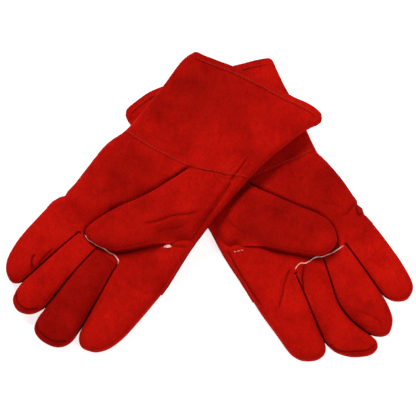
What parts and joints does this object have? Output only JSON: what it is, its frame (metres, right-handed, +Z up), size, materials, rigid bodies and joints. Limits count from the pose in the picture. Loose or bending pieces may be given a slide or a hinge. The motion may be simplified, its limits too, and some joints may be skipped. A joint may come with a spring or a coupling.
{
  "type": "welding gloves",
  "caption": "Pair of lined leather welding gauntlets with flared cuffs, lying palm up with the left cuff crossed over the right.",
  "frame": {"origin": "centre of the bounding box of the pair, on the surface that it lies on", "axes": "+Z up out of the surface; +Y from the fingertips towards the crossed cuffs; +X from the left glove's fingers towards the right glove's fingers"},
  "size_m": [0.4262, 0.3284, 0.055],
  "materials": {
    "red_leather": "napped split leather, dyed red",
    "cuff_hem": "the same leather, folded to a hem",
    "side_welt": "the same leather, cut edge",
    "pale_welt": "undyed leather strip, stained by the red dye",
    "cotton_lining": "undyed cotton fleece"
  },
  "bodies": {
    "right_hand": {"right_palm_panel": "red_leather", "right_back_panel": "red_leather", "right_hand_lining": "cotton_lining", "right_side_welt_little": "side_welt", "right_side_welt_thumb": "side_welt", "right_finger_welt": "pale_welt", "right_thumb_wing": "red_leather", "right_cuff_front": "red_leather", "right_cuff_back": "red_leather", "right_cuff_lining": "cotton_lining", "right_cuff_hem": "cuff_hem"},
    "left_hand": {"left_palm_panel": "red_leather", "left_back_panel": "red_leather", "left_hand_lining": "cotton_lining", "left_side_welt_little": "side_welt", "left_side_welt_thumb": "side_welt", "left_finger_welt": "pale_welt", "left_thumb_wing": "red_leather"},
    "left_little": {"left_little_front": "red_leather", "left_little_back": "red_leather", "left_little_lining": "cotton_lining"},
    "left_ring": {"left_ring_front": "red_leather", "left_ring_back": "red_leather", "left_ring_lining": "cotton_lining"},
    "left_middle": {"left_middle_front": "red_leather", "left_middle_back": "red_leather", "left_middle_lining": "cotton_lining"},
    "left_index": {"left_index_front": "red_leather", "left_index_back": "red_leather", "left_index_lining": "cotton_lining"},
    "left_thumb": {"left_thumb_front": "red_leather", "left_thumb_back": "red_leather", "left_thumb_lining": "cotton_lining"},
    "left_cuff": {"left_cuff_front": "red_leather", "left_cuff_back": "red_leather", "left_cuff_lining": "cotton_lining", "left_cuff_hem": "cuff_hem"},
    "right_little": {"right_little_front": "red_leather", "right_little_back": "red_leather", "right_little_lining": "cotton_lining"},
    "right_ring": {"right_ring_front": "red_leather", "right_ring_back": "red_leather", "right_ring_lining": "cotton_lining"},
    "right_middle": {"right_middle_front": "red_leather", "right_middle_back": "red_leather", "right_middle_lining": "cotton_lining"},
    "right_index": {"right_index_front": "red_leather", "right_index_back": "red_leather", "right_index_lining": "cotton_lining"},
    "right_thumb": {"right_thumb_front": "red_leather", "right_thumb_back": "red_leather", "right_thumb_lining": "cotton_lining"}
  },
  "joints": [
    {"name": "left_glove_lift", "type": "slide", "parent": "right_hand", "child": "left_hand", "axis": [0, 0, 1], "range_m": [0, 0.12]},
    {"name": "left_wrist_fold", "type": "hinge", "parent": "left_hand", "child": "left_cuff", "pos_m": [-0.02515, 0.05486, 0.0482], "axis": [0.9, -0.4358, 0], "range_deg": [0, 60]},
    {"name": "left_thumb_fold", "type": "hinge", "parent": "left_hand", "child": "left_thumb", "pos_m": [-0.04665, -0.01364, 0.05603], "axis": [-0.33, 0.944, 0], "range_deg": [0, 85]},
    {"name": "left_index_fold", "type": "hinge", "parent": "left_hand", "child": "left_index", "pos_m": [-0.07132, -0.07742, 0.0247], "axis": [-0.7997, 0.6004, 0], "range_deg": [0, 70]},
    {"name": "left_middle_fold", "type": "hinge", "parent": "left_hand", "child": "left_middle", "pos_m": [-0.1041, -0.0528, 0.0247], "axis": [-0.7997, 0.6004, 0], "range_deg": [0, 70]},
    {"name": "left_ring_fold", "type": "hinge", "parent": "left_hand", "child": "left_ring", "pos_m": [-0.12729, -0.03539, 0.0247], "axis": [-0.7997, 0.6004, 0], "range_deg": [0, 70]},
    {"name": "left_little_fold", "type": "hinge", "parent": "left_hand", "child": "left_little", "pos_m": [-0.15448, -0.01497, 0.0247], "axis": [-0.7997, 0.6004, 0], "range_deg": [0, 70]},
    {"name": "right_thumb_fold", "type": "hinge", "parent": "right_hand", "child": "right_thumb", "pos_m": [0.05418, -0.01473, 0.0417], "axis": [-0.3773, -0.9261, 0], "range_deg": [0, 85]},
    {"name": "right_index_fold", "type": "hinge", "parent": "right_hand", "child": "right_index", "pos_m": [0.07295, -0.08617, 0.0241], "axis": [-0.829, -0.5592, 0], "range_deg": [0, 70]},
    {"name": "right_middle_fold", "type": "hinge", "parent": "right_hand", "child": "right_middle", "pos_m": [0.10694, -0.06324, 0.0241], "axis": [-0.829, -0.5592, 0], "range_deg": [0, 70]},
    {"name": "right_ring_fold", "type": "hinge", "parent": "right_hand", "child": "right_ring", "pos_m": [0.13098, -0.04702, 0.0241], "axis": [-0.829, -0.5592, 0], "range_deg": [0, 70]},
    {"name": "right_little_fold", "type": "hinge", "parent": "right_hand", "child": "right_little", "pos_m": [0.15917, -0.02801, 0.0241], "axis": [-0.829, -0.5592, 0], "range_deg": [0, 70]}
  ]
}
